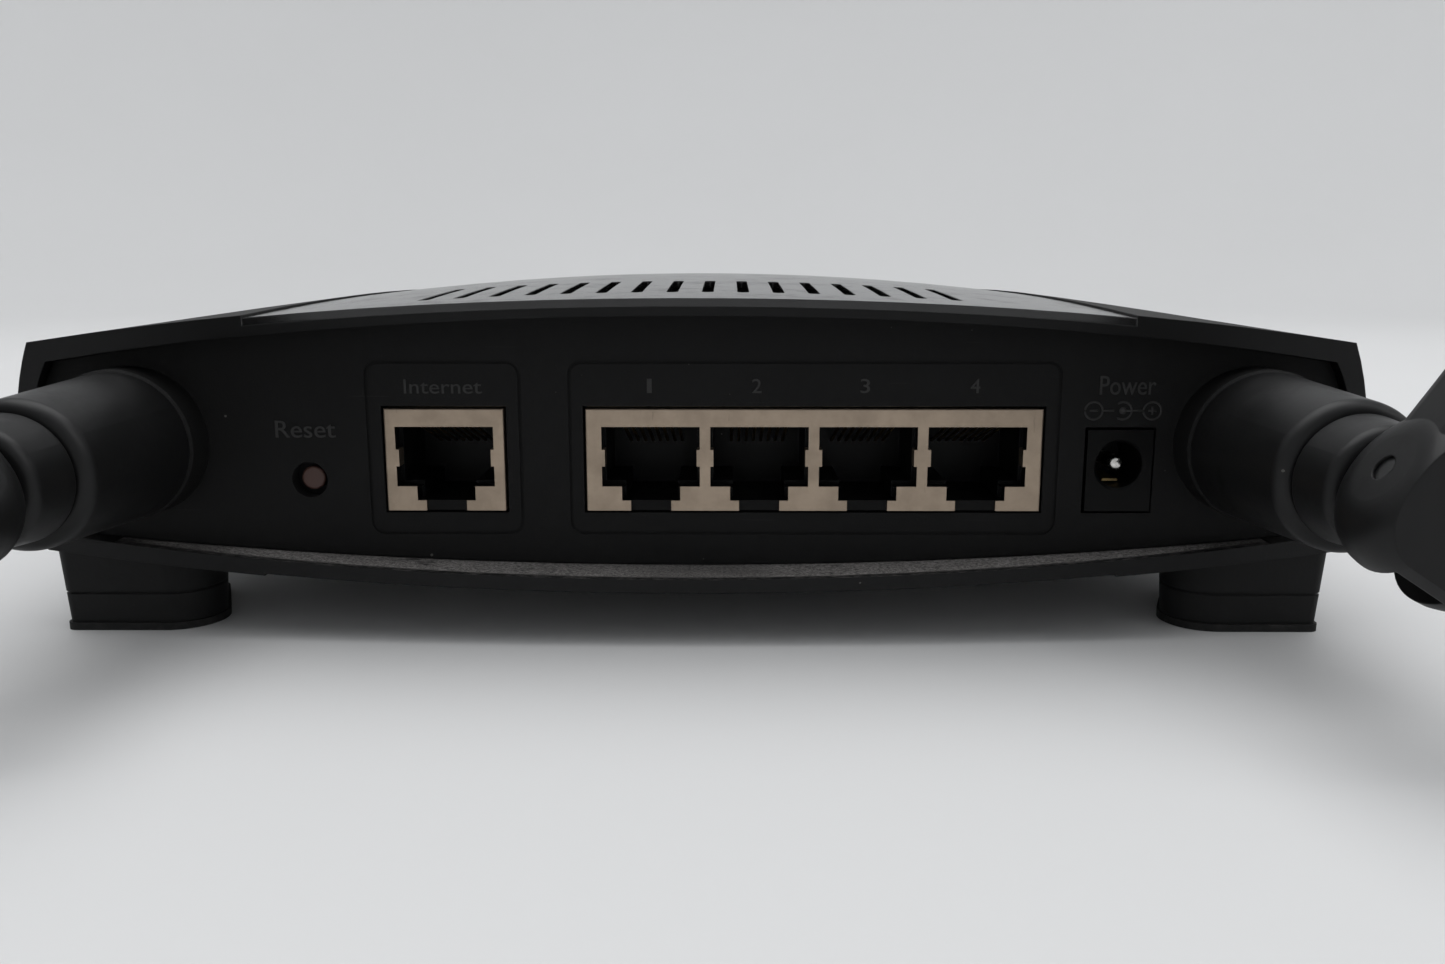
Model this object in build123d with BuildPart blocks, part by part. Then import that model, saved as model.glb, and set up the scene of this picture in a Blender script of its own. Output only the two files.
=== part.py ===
"""A wireless router with a curved two-part case, five modular jacks and two folding antennas.

Frame: +Z up, the ports face +Y, the status lamps face -Y. The origin lies on the surface that the
feet stand on, under the centre of the whole object's box. All sizes are in millimetres.
"""
from build123d import *
from math import cos, radians, sin, sqrt, tan
import os

os.makedirs("parts", exist_ok=True)

# ---------------------------------------------------------------- driving dimensions
# Case: half widths and heights of its rear end, and how it swells towards the middle
case_depth = 130.0
half_width_top = 83.0
half_width_widest = 85.2
half_width_bottom = 83.1
corner_height = 37.9
widest_height = 30.0
seam_height = 12.4
bottom_corner_height = 11.1
crown_height = 46.0
rear_crown_height = 43.9
belly_height = 6.8
middle_swell = 1.4
rim_bow = 5.9
rim_corner_depth = 1.6
front_corner_radius = 14.0

# Walls and general clearances
top_wall = 2.4
side_wall = 2.3
stop_rib_depth = 2.0
stop_rib_height = 1.6
window_low = 21.5
window_high = 26.5
window_half_width = 36.0
window_depth = 3 * side_wall
bottom_wall = 2.0
panel_wall = 2.2
fit_gap = 0.1
screw_gap = 0.02
form_margin = 4.0

# Top insert and the matching band under the case
insert_half_width = 54.6
insert_drop = 0.3
insert_wall = 1.0
belly_band_half_width = 54.0
belly_band_rise = 0.25

# Vent slots
vent_count = 16
vent_pitch = 4.5
vent_width = 1.5
vent_length = 22.0
vent_clearance = 0.6
vent_rear_margin = 8.0

# Feet
foot_outer_x = 82.3
foot_width = 21.2
foot_length = 20.0
foot_slant = 8.6
foot_inner_radius = 5.5
foot_far_radius = 3.0
foot_outer_radius = 1.0
foot_draft = 4.0
foot_screw_back = 13.0
foot_pad_height = 1.0
foot_pad_overhang = 0.35
foot_groove_height = 5.1
foot_groove_width = 0.35
foot_groove_depth = 0.3
foot_front_margin = 11.0
foot_rear_proud = 0.5

# Modular jacks
jack_floor = 16.1
jack_height = 13.3
jack_depth = 16.5
jack_proud = 0.3
jack_gap = 0.3
sheet = 0.3
port_pitch = 13.97
single_jack_width = 15.4
single_jack_x = 31.6
gang_jack_width = 58.6
gang_jack_x = -15.85
gang_count = 4
window_width = 12.6
window_top = 27.05
window_floor = 19.3
latch_step_width = 7.5
latch_step_floor = 17.45
latch_notch_width = 5.2
cavity_shrink = 0.35
cavity_depth = 13.0
finger_reach = 0.4
finger_height = 2.2
finger_centre_height = 23.0
finger_length = 2.2
shield_bend = 0.25
contact_back_height = 23.5
contact_count = 8
contact_pitch = 1.02
contact_width = 0.35
contact_thickness = 0.35

# Power jack
power_x = -55.1
power_width = 8.4
power_height = 10.6
power_depth = 13.5
power_hole_diameter = 6.0
power_hole_height = 22.15
power_hole_depth = 9.5
power_pin_diameter = 2.0
power_pin_recess = 1.0
power_spring_width = 2.0
power_spring_length = 6.0
power_spring_thickness = 0.3

power_spring_drop = 2.55
power_mouth_chamfer = 0.3
power_pin_round = 0.8

# Reset button
reset_x = 49.3
reset_height = 20.1
reset_hole_diameter = 4.6
reset_button_diameter = 3.1
reset_recess = 1.3
reset_travel = 0.4
reset_gap = 0.05
reset_body_width = 6.2
reset_body_height = 7.2
reset_body_depth = 4.5
reset_body_distance = 4.0
reset_bore_depth = 3.0
reset_button_round = 0.3

# Main board and what stands on it
board_thickness = 1.6
board_round = 2.0
memory_size = (8.0, 13.0, 1.1)
flash_size = (6.0, 5.3, 1.7)
transformer_size = (12.0, 7.6, 5.2)
inductor_size = (10.0, 10.0, 5.0, 1.5)
crystal_size = (5.0, 3.2, 1.2, 0.5)
lamp_size = (1.6, 1.0, 0.9)
board_half_width = 64.0
board_rear_gap = 0.8
board_front_margin = 11.5
board_screw_x = 58.0
board_screw_rear = 34.0
board_screw_front = 100.0
post_radius = 3.2
screw_radius = 1.5
screw_head_radius = 2.8
screw_head_height = 1.8
cover_screw_x = 76.0
cover_post_radius = 3.2
cover_post_floor = 14.2
cover_screw_length = 20.0
board_screw_bite = 3.2
drive_length = 3.2
drive_width = 0.7
drive_depth = 0.8

# Packages on the board
processor_back = 62.0
processor_side = 21.0
processor_height = 1.6
heatsink_side = 34.0
heatsink_base = 2.0
fin_count = 9
fin_thickness = 1.2
fin_height = 8.0
memory_x = 24.0
transformer_back = 6.0
inductor_back = 26.0
crystal_x = 18.0
crystal_back = 84.0
lamp_count = 7
lamp_pitch = 9.0
lamp_margin = 3.0
pipe_half_width = 34.0
pipe_depth = 3.0
pipe_leg = 2.4
antenna_socket_x = 52.0
antenna_socket_back = 54.0
antenna_socket_width = 3.0
antenna_socket_length = 4.0
antenna_socket_height = 2.6
capacitor_count = 3
capacitor_x = -42.0
capacitor_back = 36.0
capacitor_round = 0.6
capacitor_pitch = 10.5
capacitor_radius = 4.0
capacitor_height = 9.0
radio_can_x = 42.0
radio_can_back = 78.0
radio_can_width = 24.0
radio_can_length = 20.0
radio_can_height = 3.2

# Outline grooves around the jacks
outline_width = 0.35
outline_depth = 0.25
outline_radius = 1.8
single_outline_width = 19.9
gang_outline_width = 62.9
outline_low = 12.9
outline_high = 35.5

# Antennas
antenna_x = 71.5
antenna_height = 25.2
antenna_lean = 33.0
collar_radius = 9.6
collar_length = 5.0
collar_chamfer = 0.35
spigot_radius = 6.0
spigot_reach = 6.0
running_gap = 0.05
barrel_gap = 0.25
barrel_root_radius = 9.35
barrel_end_radius = 8.35
barrel_end = 26.2
barrel_end_round = 1.8
neck_root_radius = 7.1
neck_end_radius = 6.6
neck_end = 33.4
neck_round = 1.4
neck_groove = 0.6
neck_spigot_radius = 4.5
neck_spigot_reach = 10.0
clip_radius = 8.0
clip_groove_radius = 5.0
clip_thickness = 0.9
clip_clearance = 0.3
washer_inner_radius = 6.5
washer_outer_radius = 8.3
washer_thickness = 1.0
knuckle_radius = 8.4
knuckle_half_width = 7.6
knuckle_round = 4.8
knuckle_gap = 0.4
blade_length = 120.0
blade_root_half_width = 7.2
blade_tip_half_width = 6.3
blade_back = 5.2
blade_tip_back = 3.4
blade_front = 4.6
blade_tip_front = 3.2
tongue_half_width = 2.5
tongue_radius = 3.4
tongue_gap = 0.4
tongue_side_gap = 0.2
pin_radius = 1.25
pin_recess = 0.3
cavity_start = 12.0
blade_wall = 1.7
cavity_relief = 0.5
blade_round = 2.3
cap_length = 8.0
cap_spigot = 4.0
radiator_half_width = 3.6
radiator_half_thickness = 0.4
lead_radius = 0.7
lead_gap = 0.2
lead_stub = 0.8
lead_arc_share = 0.45
lead_plug_gap = 0.6
lead_first_bend = (27.0, 1.5)
lead_second_bend = (45.0, 6.0)
lead_board_gap = 1.6
radiator_foot = 2.0

# ---------------------------------------------------------------- derived places
rim_middle_depth = rim_corner_depth + rim_bow
pivot_distance = neck_end + knuckle_gap + knuckle_radius
antenna_reach = pivot_distance + blade_back
front_reach = case_depth - rim_middle_depth
port_y = (front_reach - antenna_reach) / 2
rear_y = port_y + rim_middle_depth
front_y = rear_y - case_depth
case_middle_y = (rear_y + front_y) / 2
bow_radius = (half_width_top**2 + rim_bow**2) / (2 * rim_bow)
panel_inner_y = port_y - panel_wall
jack_face_y = port_y + jack_proud
board_top = jack_floor
board_bottom = board_top - board_thickness
board_rear_y = panel_inner_y - board_rear_gap
board_front_y = front_y + board_front_margin
sky = 60.0
side_reach = half_width_widest + middle_swell + form_margin
foot_rear_y = port_y + foot_rear_proud
foot_front_y = front_y + foot_front_margin
foot_growth = (foot_groove_height - foot_pad_height) * tan(radians(foot_draft))
foot_screw_ys = (foot_rear_y - foot_screw_back, foot_front_y + foot_screw_back)
cover_screw_places = [(side * cover_screw_x, y) for y in foot_screw_ys for side in (1, -1)]
board_screw_places = [
    (side * board_screw_x, port_y - back)
    for back in (board_screw_rear, board_screw_front)
    for side in (1, -1)
]
gang_port_xs = [
    gang_jack_x + (index - (gang_count - 1) / 2) * port_pitch for index in range(gang_count)
]


def save(part, name):
    """Label a finished piece and write its file."""
    part.label = name
    export_step(part, f"parts/{name}.step")


def save_pair(part, name):
    """Write a right-hand piece and its mirror image, which is the left-hand piece."""
    save(part, f"{name}_right")
    save(mirror(part, about=Plane.YZ), f"{name}_left")


def case_form(top_drop=0.0, side_in=0.0, bottom_rise=0.0, front_in=0.0, rear_open=False):
    """The case's outer form, brought in by the given amounts: its cross-section lofted along Y."""
    half_depth = case_depth / 2
    with BuildPart() as form:
        for reach in (-1, 0, 1):
            y = case_middle_y + reach * (half_depth + form_margin)
            share = (y - case_middle_y)**2 / half_depth**2
            swell = middle_swell * (1 - share)
            crown = crown_height - (crown_height - rear_crown_height) * share
            top = (half_width_top + swell - side_in, corner_height - top_drop)
            wide = (half_width_widest + swell - side_in, widest_height)
            low = (half_width_bottom + swell - side_in, bottom_corner_height + bottom_rise)
            section = Plane(origin=(0, y, 0), x_dir=(1, 0, 0), z_dir=(0, -1, 0))
            with BuildSketch(section):
                with BuildLine():
                    ThreePointArc((-top[0], top[1]), (0, crown - top_drop), top)
                    ThreePointArc(top, wide, low)
                    ThreePointArc(low, (0, belly_height + bottom_rise), (-low[0], low[1]))
                    ThreePointArc((-low[0], low[1]), (-wide[0], wide[1]), (-top[0], top[1]))
                make_face()
        loft()
        with BuildSketch():
            with BuildLine():
                edge = half_width_widest + middle_swell - front_in
                slope = bow_radius - sqrt(bow_radius**2 - edge**2)
                rear_corner = (edge, rear_y - slope)
                front_corner = (edge, front_y + front_in + slope)
                Line(rear_corner, front_corner)
                ThreePointArc(front_corner, (0, front_y + front_in), (-edge, front_corner[1]))
                Line((-edge, front_corner[1]), (-edge, rear_corner[1]))
                ThreePointArc((-edge, rear_corner[1]), (0, rear_y), rear_corner)
            make_face()
            fillet(
                vertices().sort_by(Axis.Y)[:2],
                radius=front_corner_radius - front_in,
            )
            if rear_open:
                with Locations((0, rear_y)):
                    Rectangle(2 * side_reach, case_depth)
        extrude(amount=sky, mode=Mode.INTERSECT)
    return form.part


def slab(x_half, y_low, y_high, z_low, z_high, x_middle=0.0):
    """A plain block between the given limits."""
    with BuildPart() as block:
        with BuildSketch(Plane.XY.offset(z_low)):
            with Locations((x_middle, (y_low + y_high) / 2)):
                Rectangle(2 * x_half, y_high - y_low)
        extrude(amount=z_high - z_low)
    return block.part


def vent_field(centre_y, z_low, z_high, widen=0.0):
    """A row of straight slots that run front to back."""
    with BuildPart() as field:
        with BuildSketch(Plane.XY.offset(z_low)):
            with Locations((0, centre_y)):
                with GridLocations(vent_pitch, 1, vent_count, 1):
                    SlotOverall(vent_length + widen, vent_width + widen, rotation=90)
        extrude(amount=z_high - z_low)
    return field.part


def posts(places, radius, z_low, z_high):
    """Round posts at the given places."""
    with BuildPart() as group:
        with BuildSketch(Plane.XY.offset(z_low)):
            with Locations(*places):
                Circle(radius)
        extrude(amount=z_high - z_low)
    return group.part


def bend_radii(route):
    """The largest tangent arc that the two runs beside each corner of a route have room for."""
    points = [Vector(*point) for point in route]
    radii = []
    for before, corner, after in zip(points, points[1:], points[2:]):
        turn = (corner - before).get_angle(after - corner)
        shorter = min((corner - before).length, (after - corner).length)
        radii.append(lead_arc_share * shorter / tan(radians(turn / 2)))
    return radii


def jack_frame(y):
    """A plane facing the rear at the given depth, whose x runs along -X and y along +Z."""
    return Plane(origin=(0, y, 0), x_dir=(-1, 0, 0), z_dir=(0, 1, 0))


# ---------------------------------------------------------------- case
outer_form = case_form()
band_form = case_form(top_drop=insert_drop, bottom_rise=belly_band_rise)
cavity_form = case_form(top_wall, side_wall, bottom_wall, side_wall, rear_open=True)
insert_floor_form = case_form(top_drop=insert_drop + insert_wall)
vent_centre_y = rear_y - vent_rear_margin - vent_length / 2
front_reach_y = front_y - form_margin
rear_reach_y = rear_y + form_margin

with BuildPart() as stop_rib:
    add(cavity_form)
    add(
        slab(side_reach, panel_inner_y - stop_rib_depth, panel_inner_y - fit_gap, 0, sky),
        mode=Mode.INTERSECT,
    )
    add(
        case_form(
            top_wall + stop_rib_height,
            side_wall + stop_rib_height,
            bottom_wall + stop_rib_height,
            rear_open=True,
        ),
        mode=Mode.SUBTRACT,
    )

window_block = slab(
    window_half_width, front_reach_y, front_y + window_depth, window_low, window_high
)
window_seat = slab(
    window_half_width + fit_gap,
    front_reach_y,
    front_y + window_depth,
    window_low - fit_gap,
    window_high + fit_gap,
)
upper_half = slab(side_reach, front_reach_y, rear_reach_y, seam_height, sky)
lower_half = slab(side_reach, front_reach_y, rear_reach_y, 0, seam_height)
cover_shaft_top = cover_screw_length + foot_groove_height

with BuildPart() as top_cover:
    add(outer_form)
    add(upper_half, mode=Mode.INTERSECT)
    add(cavity_form, mode=Mode.SUBTRACT)
    add(
        slab(insert_half_width + fit_gap, front_reach_y, rear_reach_y, widest_height, sky)
        - insert_floor_form,
        mode=Mode.SUBTRACT,
    )
    add(stop_rib.part & upper_half)
    add(
        posts(cover_screw_places, cover_post_radius + fit_gap, 0, cover_post_floor),
        mode=Mode.SUBTRACT,
    )
    add(
        posts(cover_screw_places, cover_post_radius, cover_post_floor, sky)
        & case_form(top_drop=top_wall / 2, side_in=side_wall / 2)
    )
    add(
        posts(cover_screw_places, screw_radius + screw_gap, cover_post_floor, cover_shaft_top + 1),
        mode=Mode.SUBTRACT,
    )
    add(vent_field(vent_centre_y, widest_height, sky, widen=vent_clearance), mode=Mode.SUBTRACT)
    add(window_seat, mode=Mode.SUBTRACT)
save(top_cover.part, "top_cover")

with BuildPart() as vent_panel:
    add(band_form)
    add(
        slab(insert_half_width, front_reach_y, rear_reach_y, widest_height, sky),
        mode=Mode.INTERSECT,
    )
    add(insert_floor_form, mode=Mode.SUBTRACT)
    add(vent_field(vent_centre_y, widest_height, sky), mode=Mode.SUBTRACT)
save(vent_panel.part, "vent_panel")

with BuildPart() as indicator_window:
    add(outer_form)
    add(window_block, mode=Mode.INTERSECT)
    add(cavity_form, mode=Mode.SUBTRACT)
save(indicator_window.part, "indicator_window")

with BuildPart() as bottom_cover:
    add(outer_form)
    add(lower_half, mode=Mode.INTERSECT)
    add(cavity_form, mode=Mode.SUBTRACT)
    add(
        slab(belly_band_half_width, front_reach_y, rear_reach_y, 0, seam_height) - band_form,
        mode=Mode.SUBTRACT,
    )
    add(stop_rib.part & lower_half)
    add(
        posts(cover_screw_places, cover_post_radius, 0, cover_post_floor - fit_gap)
        & case_form(bottom_rise=bottom_wall / 2, side_in=side_wall / 2)
    )
    add(
        posts(board_screw_places, post_radius, 0, board_bottom)
        & case_form(bottom_rise=bottom_wall / 2)
    )
    add(
        posts(cover_screw_places, screw_radius + fit_gap, 0, cover_post_floor),
        mode=Mode.SUBTRACT,
    )
    add(
        posts(
            board_screw_places,
            screw_radius + screw_gap,
            board_bottom - board_screw_bite,
            board_bottom,
        ),
        mode=Mode.SUBTRACT,
    )
    add(vent_field(case_middle_y, 0, seam_height), mode=Mode.SUBTRACT)
save(bottom_cover.part, "bottom_cover")


# ---------------------------------------------------------------- feet
def foot_outline(side, end, grow=0.0):
    """The foot's plan: it narrows inwards from its outward face, on the side towards the middle."""
    face_y = foot_rear_y if end > 0 else foot_front_y
    far_y = face_y - end * foot_length
    outer_x = side * foot_outer_x
    inner_x = side * (foot_outer_x - foot_width)
    far_x = inner_x + side * foot_slant
    with BuildSketch() as outline:
        with BuildLine():
            Polyline((outer_x, face_y), (inner_x, face_y), (far_x, far_y), (outer_x, far_y), close=True)
        make_face()
        corners = outline.vertices()
        fillet(corners.sort_by_distance((inner_x, face_y))[0], radius=foot_inner_radius)
        fillet(outline.vertices().sort_by_distance((far_x, far_y))[0], radius=foot_far_radius)
        for corner in ((outer_x, face_y), (outer_x, far_y)):
            fillet(outline.vertices().sort_by_distance(corner)[0], radius=foot_outer_radius)
        if grow:
            offset(amount=grow)
    return outline.sketch


for end_name, end in (("rear", 1), ("front", -1)):
    for side_name, side in (("right", 1), ("left", -1)):
        with BuildPart() as foot:
            add(foot_outline(side, end).moved(Location((0, 0, foot_pad_height))))
            extrude(amount=bottom_corner_height, taper=-foot_draft)
            with BuildSketch(Plane.XY.offset(foot_groove_height - foot_groove_width / 2)):
                add(foot_outline(side, end, foot_growth + foot_groove_depth))
                add(foot_outline(side, end, foot_growth - foot_groove_depth), mode=Mode.SUBTRACT)
            extrude(amount=foot_groove_width, mode=Mode.SUBTRACT)
            add(outer_form, mode=Mode.SUBTRACT)
            centre = (side * cover_screw_x, foot_screw_ys[0] if end > 0 else foot_screw_ys[1])
            with BuildSketch(Plane.XY.offset(foot_pad_height)):
                with Locations(centre):
                    Circle(screw_head_radius + fit_gap)
            extrude(amount=foot_groove_height - foot_pad_height, mode=Mode.SUBTRACT)
            with BuildSketch():
                with Locations(centre):
                    Circle(screw_radius + fit_gap)
            extrude(amount=sky, mode=Mode.SUBTRACT)
        save(foot.part, f"foot_{end_name}_{side_name}")

with BuildPart() as foot_pads:
    with BuildSketch():
        for end in (1, -1):
            for side in (1, -1):
                add(foot_outline(side, end, foot_pad_overhang))
    extrude(amount=foot_pad_height)
save(foot_pads.part, "foot_pads")


# ---------------------------------------------------------------- screws
def screws(places, head_low, shank_low, shank_high, drive_low, name):
    """Identical pan-head screws with a cross recess, at the given places and heights."""
    with BuildPart() as group:
        with BuildSketch(Plane.XY.offset(head_low)):
            with Locations(*places):
                Circle(screw_head_radius)
        extrude(amount=screw_head_height)
        with BuildSketch(Plane.XY.offset(shank_low)):
            with Locations(*places):
                Circle(screw_radius)
        extrude(amount=shank_high - shank_low)
        with BuildSketch(Plane.XY.offset(drive_low)):
            with Locations(*places):
                Rectangle(drive_length, drive_width)
                Rectangle(drive_width, drive_length)
        extrude(amount=drive_depth, mode=Mode.SUBTRACT)
    save(group.part, name)


head_low = foot_groove_height - screw_head_height
screws(
    cover_screw_places,
    head_low,
    foot_groove_height,
    foot_groove_height + cover_screw_length,
    head_low,
    "cover_screws",
)
screws(
    board_screw_places,
    board_top,
    board_bottom - board_screw_bite,
    board_top,
    board_top + screw_head_height - drive_depth,
    "board_screws",
)

# ---------------------------------------------------------------- rear panel
antenna_places = [(side * antenna_x, antenna_height) for side in (1, -1)]
outline_boxes = (
    (single_jack_x, single_outline_width),
    (gang_jack_x, gang_outline_width),
)
jack_boxes = ((single_jack_x, single_jack_width), (gang_jack_x, gang_jack_width))

with BuildPart() as rear_panel:
    add(case_form(top_wall + fit_gap, side_wall + fit_gap, bottom_wall + fit_gap, rear_open=True))
    add(slab(side_reach, panel_inner_y, port_y, 0, sky), mode=Mode.INTERSECT)
    with BuildSketch(jack_frame(port_y)):
        with Locations(*antenna_places):
            Circle(collar_radius)
    extrude(amount=collar_length)
    collar_rims = rear_panel.faces().sort_by(Axis.Y)[-2:]
    chamfer(collar_rims.edges(), length=collar_chamfer)
    with BuildSketch(jack_frame(panel_inner_y)):
        with Locations(*antenna_places):
            Circle(spigot_radius + running_gap)
        for centre_x, width in jack_boxes:
            with Locations((-centre_x, jack_floor + jack_height / 2)):
                Rectangle(width + 2 * jack_gap, jack_height + 2 * jack_gap)
        with Locations((-power_x, jack_floor + power_height / 2)):
            Rectangle(power_width + 2 * jack_gap, power_height + 2 * jack_gap)
        with Locations((-reset_x, reset_height)):
            Circle(reset_hole_diameter / 2)
    extrude(amount=panel_wall + collar_length, mode=Mode.SUBTRACT)
    with BuildSketch(jack_frame(port_y + collar_length - washer_thickness)):
        with Locations(*antenna_places):
            Circle(washer_outer_radius + running_gap)
    extrude(amount=washer_thickness, mode=Mode.SUBTRACT)
    with BuildSketch(jack_frame(port_y - outline_depth)):
        for centre_x, width in outline_boxes:
            with Locations((-centre_x, (outline_low + outline_high) / 2)):
                RectangleRounded(width, outline_high - outline_low, outline_radius)
        for centre_x, width in outline_boxes:
            with Locations((-centre_x, (outline_low + outline_high) / 2)):
                RectangleRounded(
                    width - 2 * outline_width,
                    outline_high - outline_low - 2 * outline_width,
                    outline_radius - outline_width,
                    mode=Mode.SUBTRACT,
                )
    extrude(amount=outline_depth, mode=Mode.SUBTRACT)
save(rear_panel.part, "rear_panel")


# ---------------------------------------------------------------- modular jacks
def port_outline(port_x, shrink, with_notch):
    """Add a modular jack's stepped opening, latch side down, to the sketch being made."""
    with Locations((-port_x, window_floor + shrink)):
        Rectangle(
            window_width - 2 * shrink,
            window_top - window_floor - 2 * shrink,
            align=(Align.CENTER, Align.MIN),
        )
    with Locations((-port_x, latch_step_floor)):
        Rectangle(
            latch_step_width - 2 * shrink,
            window_floor - latch_step_floor + 2 * shrink,
            align=(Align.CENTER, Align.MIN),
        )
    if with_notch:
        with Locations((-port_x, jack_floor)):
            Rectangle(
                latch_notch_width,
                latch_step_floor - jack_floor + shrink,
                align=(Align.CENTER, Align.MIN),
            )


def make_jack(name, centre_x, width, port_xs):
    """A modular jack block: sheet-metal shield, plastic housing and the contact wires."""
    back_y = jack_face_y - jack_depth
    with BuildPart() as shield:
        with BuildSketch(jack_frame(back_y)):
            with Locations((-centre_x, jack_floor + jack_height / 2)):
                Rectangle(width, jack_height)
        extrude(amount=jack_depth)
        front_edges = shield.faces().sort_by(Axis.Y)[-1].edges()
        fillet(front_edges.sort_by(Axis.Z)[1:], radius=shield_bend)
        with BuildSketch(jack_frame(back_y + sheet)):
            with Locations((-centre_x, jack_floor - sheet)):
                Rectangle(
                    width - 2 * sheet, jack_height, align=(Align.CENTER, Align.MIN)
                )
        extrude(amount=jack_depth - 2 * sheet, mode=Mode.SUBTRACT)
        with BuildSketch(jack_frame(jack_face_y - 2 * sheet)):
            for port_x in port_xs:
                port_outline(port_x, 0, True)
        extrude(amount=2 * sheet, mode=Mode.SUBTRACT)
        finger_offset = (window_width - finger_reach) / 2
        with BuildSketch(jack_frame(jack_face_y - finger_length)):
            for port_x in port_xs:
                with Locations((-port_x, finger_centre_height)):
                    with GridLocations(2 * finger_offset, 1, 2, 1):
                        Rectangle(finger_reach, finger_height)
        extrude(amount=finger_length)
    save(shield.part, f"{name}_shield")

    front_y_inside = jack_face_y - sheet - fit_gap
    housing_depth = jack_depth - 2 * (sheet + fit_gap)
    with BuildPart() as housing:
        with BuildSketch(jack_frame(front_y_inside - housing_depth)):
            with Locations((-centre_x, jack_floor)):
                Rectangle(
                    width - 2 * (sheet + fit_gap),
                    jack_height - sheet - fit_gap,
                    align=(Align.CENTER, Align.MIN),
                )
        extrude(amount=housing_depth)
        with BuildSketch(jack_frame(front_y_inside - finger_length)):
            for port_x in port_xs:
                port_outline(port_x, -fit_gap, False)
        extrude(amount=finger_length, mode=Mode.SUBTRACT)
        with BuildSketch(jack_frame(front_y_inside - cavity_depth)):
            for port_x in port_xs:
                port_outline(port_x, cavity_shrink, False)
        extrude(amount=cavity_depth, mode=Mode.SUBTRACT)
    save(housing.part, f"{name}_housing")

    roof = window_top - cavity_shrink
    wire_back = front_y_inside - cavity_depth
    wire_front = front_y_inside - finger_length - fit_gap
    with BuildPart() as contacts:
        for port_x in port_xs:
            for index in range(contact_count):
                wire_x = port_x + (index - (contact_count - 1) / 2) * contact_pitch
                with BuildSketch(Plane(origin=(wire_x, 0, 0), x_dir=(0, 1, 0), z_dir=(1, 0, 0))):
                    with BuildLine():
                        Polyline(
                            (wire_front, roof),
                            (wire_front - 2 * contact_thickness, roof),
                            (wire_back, contact_back_height),
                            (wire_back, contact_back_height - contact_thickness),
                            close=True,
                        )
                    make_face()
                extrude(amount=contact_width / 2, both=True)
    save(contacts.part, f"{name}_contacts")


make_jack("internet_jack", single_jack_x, single_jack_width, [single_jack_x])
make_jack("lan_jack", gang_jack_x, gang_jack_width, gang_port_xs)

# ---------------------------------------------------------------- power jack
power_back_y = jack_face_y - power_depth
power_floor_y = jack_face_y - power_hole_depth
power_axis = (-power_x, power_hole_height)

with BuildPart() as power_jack_housing:
    with BuildSketch(jack_frame(power_back_y)):
        with Locations((-power_x, jack_floor)):
            Rectangle(power_width, power_height, align=(Align.CENTER, Align.MIN))
    extrude(amount=power_depth)
    with BuildSketch(jack_frame(power_floor_y)):
        with Locations(power_axis):
            Circle(power_hole_diameter / 2)
    extrude(amount=power_hole_depth, mode=Mode.SUBTRACT)
    mouth = power_jack_housing.edges().filter_by(GeomType.CIRCLE).sort_by(Axis.Y)[-1]
    chamfer(mouth, length=power_mouth_chamfer)
save(power_jack_housing.part, "power_jack_housing")

with BuildPart() as power_jack_pin:
    with BuildSketch(jack_frame(power_floor_y)):
        with Locations(power_axis):
            Circle(power_pin_diameter / 2)
    extrude(amount=power_hole_depth - power_pin_recess)
    tip = power_jack_pin.edges().filter_by(GeomType.CIRCLE).sort_by(Axis.Y)[-1]
    fillet(tip, radius=power_pin_round)
save(power_jack_pin.part, "power_jack_pin")

with BuildPart() as power_jack_spring:
    with BuildSketch(jack_frame(power_floor_y)):
        with Locations((-power_x, power_hole_height - power_spring_drop)):
            Rectangle(power_spring_width, power_spring_thickness)
    extrude(amount=power_spring_length)
save(power_jack_spring.part, "power_jack_spring")

# ---------------------------------------------------------------- reset button
reset_body_y = port_y - reset_body_distance
reset_axis = (-reset_x, reset_height)

with BuildPart() as reset_switch:
    with BuildSketch(jack_frame(reset_body_y - reset_body_depth)):
        with Locations((-reset_x, board_top)):
            Rectangle(reset_body_width, reset_body_height, align=(Align.CENTER, Align.MIN))
    extrude(amount=reset_body_depth)
    with BuildSketch(jack_frame(reset_body_y - reset_bore_depth)):
        with Locations(reset_axis):
            Circle(reset_button_diameter / 2 + reset_gap)
    extrude(amount=reset_bore_depth, mode=Mode.SUBTRACT)
save(reset_switch.part, "reset_switch")

reset_stem_end = reset_body_y - reset_bore_depth + 2 * reset_travel
with BuildPart() as reset_button:
    with BuildSketch(jack_frame(reset_stem_end)):
        with Locations(reset_axis):
            Circle(reset_button_diameter / 2)
    extrude(amount=port_y - reset_recess - reset_stem_end)
    face_edge = reset_button.edges().filter_by(GeomType.CIRCLE).sort_by(Axis.Y)[-1]
    fillet(face_edge, radius=reset_button_round)
save(reset_button.part, "reset_button")


# ---------------------------------------------------------------- main board
def board_block(name, places, width, length, height, round_edge=0.0):
    """Plain packages that stand on the board, all of one size, at the given places."""
    with BuildPart() as group:
        with BuildSketch(Plane.XY.offset(board_top)):
            with Locations(*places):
                Rectangle(width, length)
        extrude(amount=height)
        if round_edge:
            chamfer(group.edges().filter_by(Axis.Z), length=round_edge)
    save(group.part, name)


with BuildPart() as main_board:
    with BuildSketch(Plane.XY.offset(board_bottom)):
        with Locations((0, (board_rear_y + board_front_y) / 2)):
            RectangleRounded(2 * board_half_width, board_rear_y - board_front_y, board_round)
        with Locations(*board_screw_places):
            Circle(screw_radius + fit_gap, mode=Mode.SUBTRACT)
    extrude(amount=board_thickness)
save(main_board.part, "main_board")

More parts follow.
